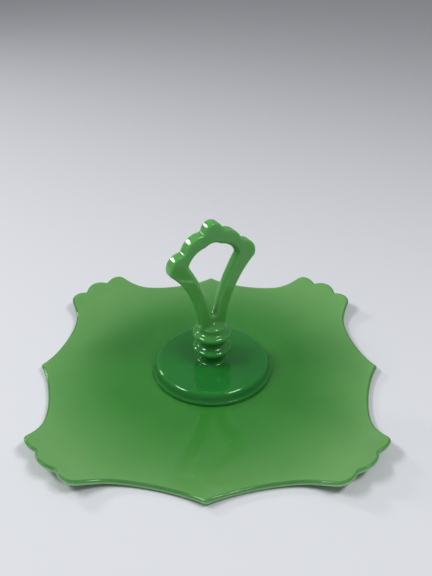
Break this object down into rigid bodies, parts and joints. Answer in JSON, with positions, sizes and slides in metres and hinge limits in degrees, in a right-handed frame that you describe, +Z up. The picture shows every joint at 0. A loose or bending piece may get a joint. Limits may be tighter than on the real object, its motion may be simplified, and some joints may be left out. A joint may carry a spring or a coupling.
{
  "type": "centre-handled serving tray",
  "caption": "Square scalloped pressed-glass serving tray with a shallow raised rim and an upright open-loop centre handle on a round foot.",
  "frame": {"origin": "centre of the tray's flat underside, on the table", "axes": "+Z up along the handle, +X and +Y to the middles of two neighbouring sides of the square tray"},
  "size_m": [0.27, 0.27, 0.1348],
  "materials": {
    "tray_glass": "fire-polished milky translucent green glass",
    "handle_glass": "fire-polished milky translucent green glass"
  },
  "bodies": {
    "root": {"tray": "tray_glass", "handle": "handle_glass"}
  },
  "joints": []
}
